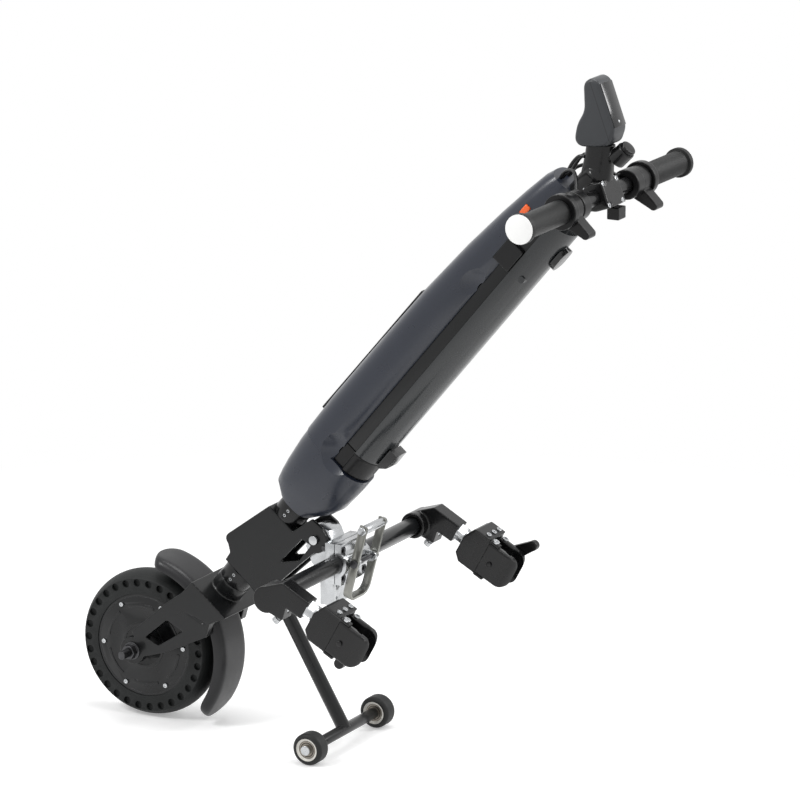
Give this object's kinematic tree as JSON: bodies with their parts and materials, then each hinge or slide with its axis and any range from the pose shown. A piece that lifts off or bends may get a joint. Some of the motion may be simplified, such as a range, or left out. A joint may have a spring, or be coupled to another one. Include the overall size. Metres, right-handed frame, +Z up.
{
  "type": "wheelchair power assist",
  "caption": "Front-drive power add-on for a manual wheelchair: hub-motor wheel, fork, battery column with handlebar and display, wheeled stand, and a cross tube with tube clamps.",
  "frame": {"origin": "on the floor under the middle of the overall length, in the middle plane of the wheel and the column", "axes": "+X rearward to the wheelchair, +Y to the rider's right, +Z up"},
  "size_m": [0.8708, 0.4913, 1.0021],
  "materials": {
    "tyre_rubber": "satin",
    "stand_rubber": "satin",
    "grip_rubber": "matt, with a white end disc",
    "motor_case": "satin",
    "motor_inside": "satin",
    "steel": "satin",
    "black_steel": "satin powder coat",
    "black_alloy": "satin anodised",
    "bright_alloy": "machined",
    "guard_plastic": "satin",
    "shell_plastic": "gloss",
    "black_plastic": "satin",
    "battery_plastic": "semi-gloss",
    "screen": "gloss",
    "orange_plastic": "gloss"
  },
  "bodies": {
    "head": {"head_block": "black_alloy", "head_bearings": "steel", "pivot_bolts": "steel"},
    "steering": {"stator": "motor_inside", "motor_axle": "steel", "axle_nuts": "steel", "fork": "black_steel", "mudguard": "guard_plastic", "steerer_tube": "steel", "head_collars": "black_alloy", "steering_screws": "steel", "neck_casting": "black_alloy", "column_spine": "bright_alloy", "column_shell": "shell_plastic", "front_strip": "black_plastic", "battery_dock": "black_plastic", "controller": "black_alloy", "stem": "black_alloy", "stem_cap": "black_alloy", "handlebar": "black_alloy", "grips": "grip_rubber", "paddle_bodies": "black_plastic", "switch_block": "black_plastic", "display_housing": "black_plastic", "display_screen": "screen", "cables": "black_plastic"},
    "drive_wheel": {"tyre": "tyre_rubber", "hub_shell": "motor_case", "hub_covers": "motor_case", "cover_screws": "steel", "magnet_ring": "motor_inside", "hub_bearings": "steel"},
    "coupler": {"coupler_block": "bright_alloy", "coupler_cap": "bright_alloy", "coupler_bolts": "steel", "cross_tube": "black_alloy", "arm_left": "black_alloy", "arm_right": "black_alloy", "clamp_studs": "steel", "clamp_body_left": "black_alloy", "clamp_body_right": "black_alloy", "clamp_screws": "steel", "inner_jaws": "black_alloy", "clamp_rods": "steel"},
    "jaw_left": {"outer_jaw_left": "black_alloy"},
    "jaw_right": {"outer_jaw_right": "black_alloy"},
    "lever_left": {"clamp_lever_left": "black_plastic"},
    "lever_right": {"clamp_lever_right": "black_plastic"},
    "handle": {"release_handle": "steel", "handle_roller": "steel"},
    "stand": {"stand_leg": "black_steel", "stand_bolts": "steel"},
    "stand_roller_left": {"stand_wheel_left": "stand_rubber"},
    "stand_roller_right": {"stand_wheel_right": "stand_rubber"},
    "battery": {"battery_pack": "battery_plastic", "battery_cover": "battery_plastic"},
    "throttle": {"throttle_paddle": "black_plastic"},
    "brake": {"brake_paddle": "black_plastic"},
    "button": {"push_button": "black_plastic"},
    "switch": {"power_switch": "orange_plastic"}
  },
  "joints": [
    {"name": "steering_turn", "type": "hinge", "parent": "head", "child": "steering", "pos_m": [-0.09194, 0, 0.33505], "axis": [0.6428, 0, 0.766], "range_deg": [-40, 40]},
    {"name": "wheel_spin", "type": "hinge", "parent": "steering", "child": "drive_wheel", "pos_m": [-0.32791, 0, 0.1075], "axis": [0, 1, 0], "continuous": true},
    {"name": "coupler_tilt", "type": "hinge", "parent": "head", "child": "coupler", "pos_m": [-0.04582, 0, 0.30289], "axis": [0, -1, 0], "range_deg": [0, 12]},
    {"name": "jaw_left_slide", "type": "slide", "parent": "coupler", "child": "jaw_left", "axis": [0, 1, 0], "range_m": [0, 0.006]},
    {"name": "jaw_right_slide", "type": "slide", "parent": "coupler", "child": "jaw_right", "axis": [0, 1, 0], "range_m": [0, 0.006]},
    {"name": "lever_left_turn", "type": "hinge", "parent": "jaw_left", "child": "lever_left", "pos_m": [0.11474, -0.217, 0.233], "axis": [0, -1, 0], "range_deg": [0, 150]},
    {"name": "lever_right_turn", "type": "hinge", "parent": "jaw_right", "child": "lever_right", "pos_m": [0.11474, 0.217, 0.233], "axis": [0, 1, 0], "range_deg": [0, 150]},
    {"name": "handle_swing", "type": "hinge", "parent": "coupler", "child": "handle", "pos_m": [0.02068, 0, 0.27789], "axis": [0, -1, 0], "range_deg": [0, 12]},
    {"name": "stand_fold", "type": "hinge", "parent": "head", "child": "stand", "pos_m": [-0.12566, 0, 0.21708], "axis": [0, -1, 0], "range_deg": [0, 45]},
    {"name": "stand_left_spin", "type": "hinge", "parent": "stand", "child": "stand_roller_left", "pos_m": [-0.01191, -0.0964, 0.023], "axis": [0, 1, 0], "continuous": true},
    {"name": "stand_right_spin", "type": "hinge", "parent": "stand", "child": "stand_roller_right", "pos_m": [-0.01191, 0.0964, 0.023], "axis": [0, 1, 0], "continuous": true},
    {"name": "battery_slide", "type": "slide", "parent": "steering", "child": "battery", "axis": [0.766, 0, -0.6428], "range_m": [0, 0.045]},
    {"name": "throttle_press", "type": "hinge", "parent": "steering", "child": "throttle", "pos_m": [0.3871, 0.10195, 0.83905], "axis": [0, 1, 0], "range_deg": [0, 40], "stiffness_Nm_per_rad": 0.4},
    {"name": "brake_press", "type": "hinge", "parent": "steering", "child": "brake", "pos_m": [0.3871, -0.10195, 0.83905], "axis": [0, 1, 0], "range_deg": [0, 40], "stiffness_Nm_per_rad": 0.4},
    {"name": "button_press", "type": "slide", "parent": "steering", "child": "button", "axis": [-0.7071, 0, -0.7071], "range_m": [0, 0.002], "stiffness_N_per_m": 800},
    {"name": "switch_press", "type": "slide", "parent": "steering", "child": "switch", "axis": [0, 1, 0], "range_m": [0, 0.0015], "stiffness_N_per_m": 1000}
  ],
  "couplings": [
    {"joint": "jaw_left_slide", "follows": "lever_left_turn", "m_per_rad": 0.0022918},
    {"joint": "jaw_right_slide", "follows": "lever_right_turn", "m_per_rad": 0.0022918}
  ]
}
